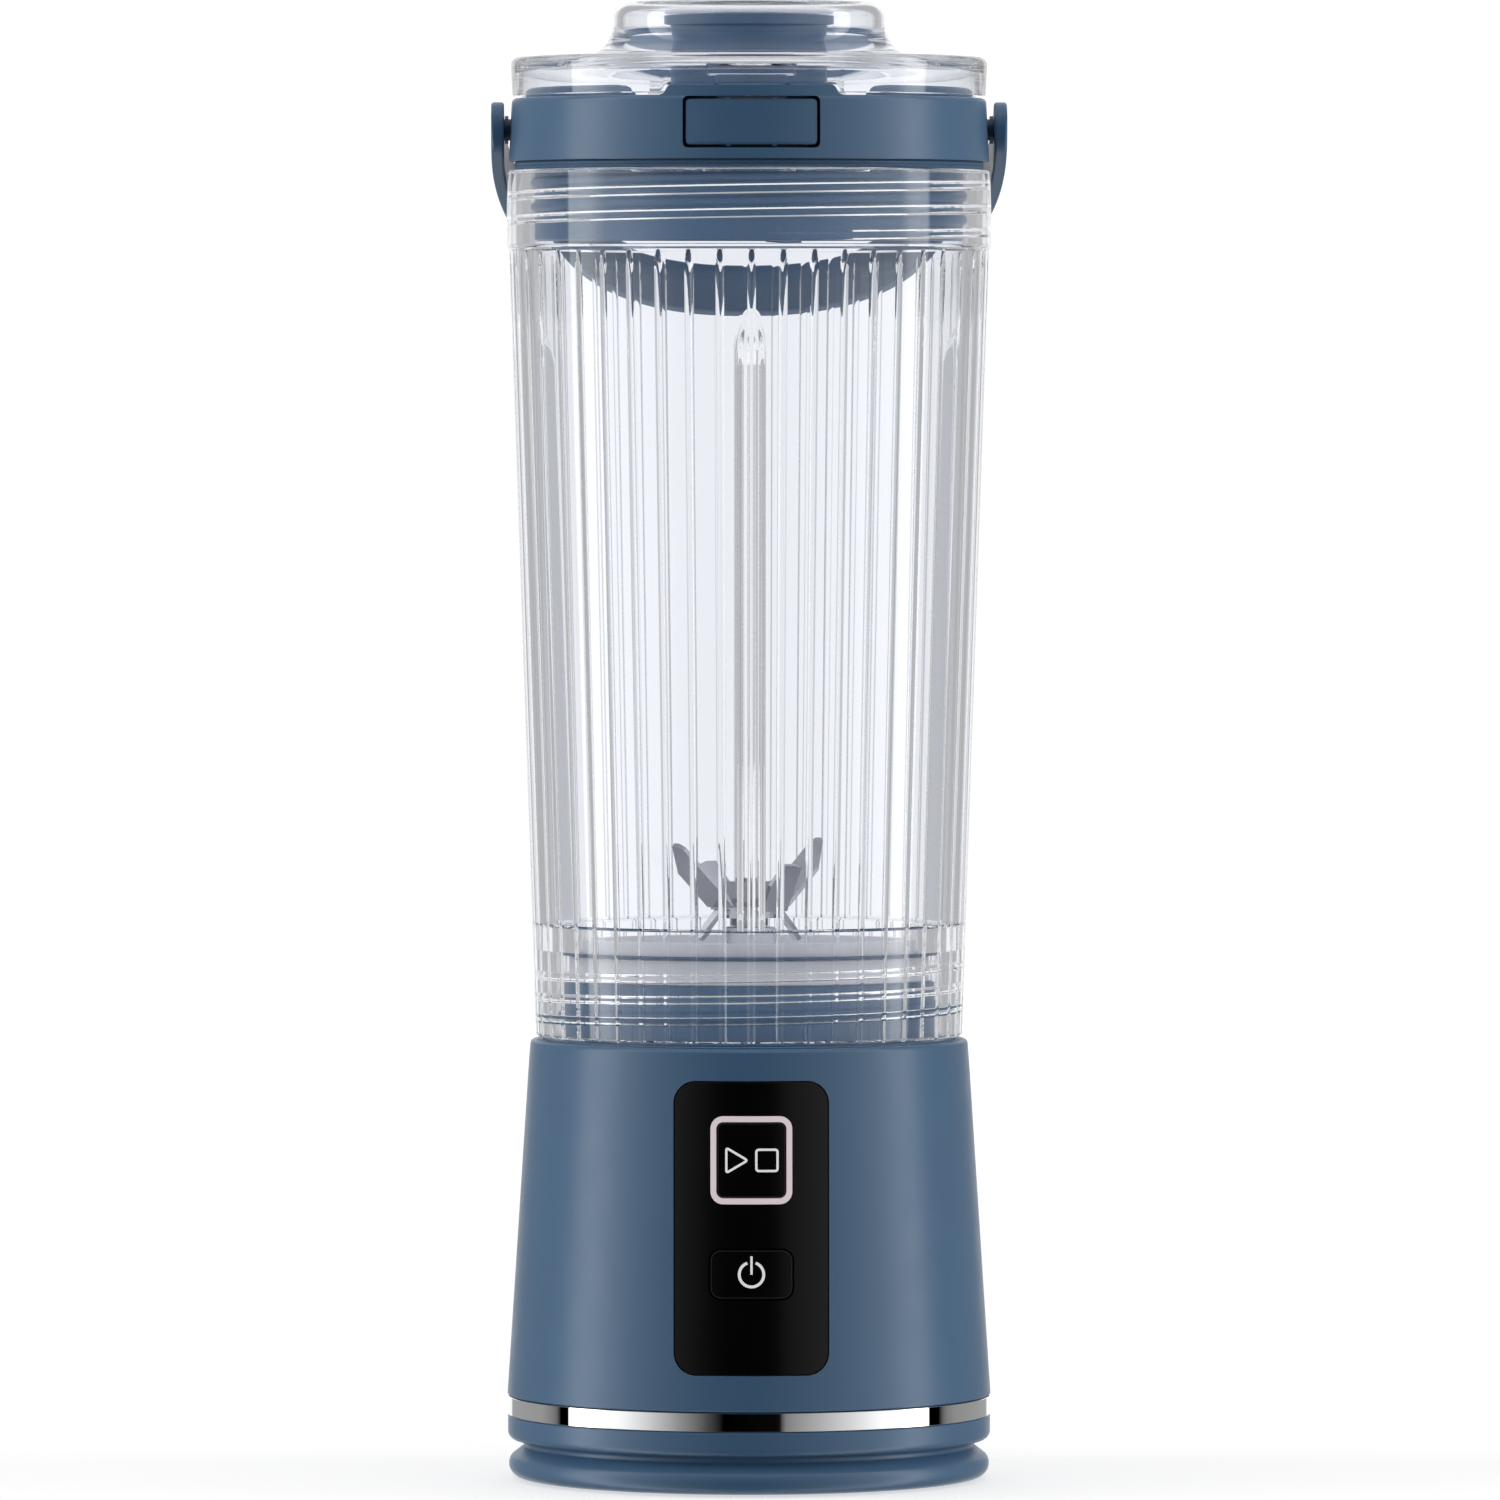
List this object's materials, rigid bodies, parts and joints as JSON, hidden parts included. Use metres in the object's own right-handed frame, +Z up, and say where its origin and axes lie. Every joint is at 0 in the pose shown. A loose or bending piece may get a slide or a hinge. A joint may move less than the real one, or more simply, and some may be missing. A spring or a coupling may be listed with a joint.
{
  "type": "blender",
  "caption": "Cordless bottle blender with a grooved clear jar, a motor base with a push-button panel, a screw lid with a flip cover and a carry handle.",
  "frame": {"origin": "centre of the underside, on the surface it stands on", "axes": "+Z up along the jar's axis, the control panel and latch face -Y, the flip cover's hinge is at +Y"},
  "size_m": [0.096, 0.098, 0.2751],
  "materials": {
    "satin_blue": "satin moulded plastic with a very fine texture",
    "clear_plastic": "clear polished copolyester",
    "chrome_trim": "mirror plated",
    "black_gloss": "polished black",
    "light_guide": "translucent light guide",
    "black_plastic": "moulded",
    "black_rubber": "matt",
    "blue_silicone": "matt silicone",
    "clear_silicone": "translucent silicone",
    "grey_plastic": "satin moulded",
    "blade_steel": "satin stainless",
    "bright_steel": "plated",
    "circuit_board": "solder mask",
    "cell_wrap": "shrink sleeve",
    "magnet": "sintered",
    "copper": "copper",
    "winding": "varnished winding on a laminated core"
  },
  "bodies": {
    "base": {"foot_pad": "black_rubber", "bottom_cap": "satin_blue", "bottom_screws": "bright_steel", "battery_tray": "black_plastic", "battery_cell_left": "cell_wrap", "battery_cell_right": "cell_wrap", "cell_tabs": "bright_steel", "chrome_ring": "chrome_trim", "base_housing": "satin_blue", "control_panel": "black_gloss", "start_light_ring": "light_guide", "button_board": "circuit_board", "start_switch": "bright_steel", "power_switch": "bright_steel", "charge_board": "circuit_board", "usb_socket": "bright_steel", "base_collar": "satin_blue", "motor_can": "bright_steel", "motor_magnets": "magnet", "motor_endcap": "black_plastic", "motor_screws": "bright_steel", "seat_screws": "bright_steel", "blade_seat": "grey_plastic", "upper_bearing": "bright_steel", "lower_bearing": "bright_steel", "bearing_sleeve": "bright_steel", "bearing_clip": "bright_steel", "shaft_seal": "black_rubber"},
    "drive": {"motor_shaft": "bright_steel", "armature": "winding", "commutator": "copper", "drive_coupling": "black_plastic", "blade_shaft": "blade_steel", "lower_washer": "blade_steel", "low_blades": "blade_steel", "short_blades": "blade_steel", "long_blades": "blade_steel", "upper_washer": "blade_steel", "blade_nut": "blade_steel"},
    "start_button": {"start_button": "black_gloss"},
    "power_button": {"power_button": "black_gloss"},
    "port_cover": {"port_cover": "blue_silicone"},
    "jar_seal": {"jar_seal": "blue_silicone"},
    "jar": {"jar": "clear_plastic"},
    "lid_seal": {"lid_seal": "blue_silicone"},
    "lid": {"lid_collar": "satin_blue", "handle_pin_left": "satin_blue", "handle_pin_right": "satin_blue", "hinge_pin": "bright_steel", "latch_springs": "bright_steel"},
    "cover": {"flip_cover": "clear_plastic", "spout_seal": "clear_silicone"},
    "latch_button": {"latch_button": "satin_blue"},
    "handle": {"carry_handle": "satin_blue"}
  },
  "joints": [
    {"name": "blade_spin", "type": "hinge", "parent": "base", "child": "drive", "pos_m": [0, 0, 0.104], "axis": [0, 0, 1], "continuous": true},
    {"name": "start_press", "type": "slide", "parent": "base", "child": "start_button", "axis": [0, 1, 0], "range_m": [0, 0.0005], "stiffness_N_per_m": 1200},
    {"name": "power_press", "type": "slide", "parent": "base", "child": "power_button", "axis": [0, 1, 0], "range_m": [0, 0.0005], "stiffness_N_per_m": 1200},
    {"name": "port_cover_open", "type": "hinge", "parent": "base", "child": "port_cover", "pos_m": [0, 0.0438, 0.0284], "axis": [-1, 0, 0], "range_deg": [0, 100], "stiffness_Nm_per_rad": 0.004},
    {"name": "jar_lift", "type": "slide", "parent": "base", "child": "jar_seal", "axis": [0, 0, 1], "range_m": [0, 0.0092]},
    {"name": "jar_turn", "type": "hinge", "parent": "jar_seal", "child": "jar", "pos_m": [0, 0, 0.1], "axis": [0, 0, 1], "range_deg": [0, 810]},
    {"name": "lid_lift", "type": "slide", "parent": "jar", "child": "lid_seal", "axis": [0, 0, 1], "range_m": [0, 0.0134]},
    {"name": "lid_turn", "type": "hinge", "parent": "lid_seal", "child": "lid", "pos_m": [0, 0, 0.245], "axis": [0, 0, 1], "range_deg": [0, 1080]},
    {"name": "cover_open", "type": "hinge", "parent": "lid", "child": "cover", "pos_m": [0, 0.0445, 0.2616], "axis": [-1, 0, 0], "range_deg": [0, 125]},
    {"name": "latch_press", "type": "slide", "parent": "lid", "child": "latch_button", "axis": [0, 1, 0], "range_m": [0, 0.0006], "stiffness_N_per_m": 900},
    {"name": "handle_swing", "type": "hinge", "parent": "lid", "child": "handle", "pos_m": [0, 0, 0.2514], "axis": [1, 0, 0], "range_deg": [0, 242]}
  ],
  "couplings": [
    {"joint": "jar_lift", "follows": "jar_turn", "m_per_rad": 0.00063662},
    {"joint": "lid_lift", "follows": "lid_turn", "m_per_rad": 0.00070028}
  ]
}
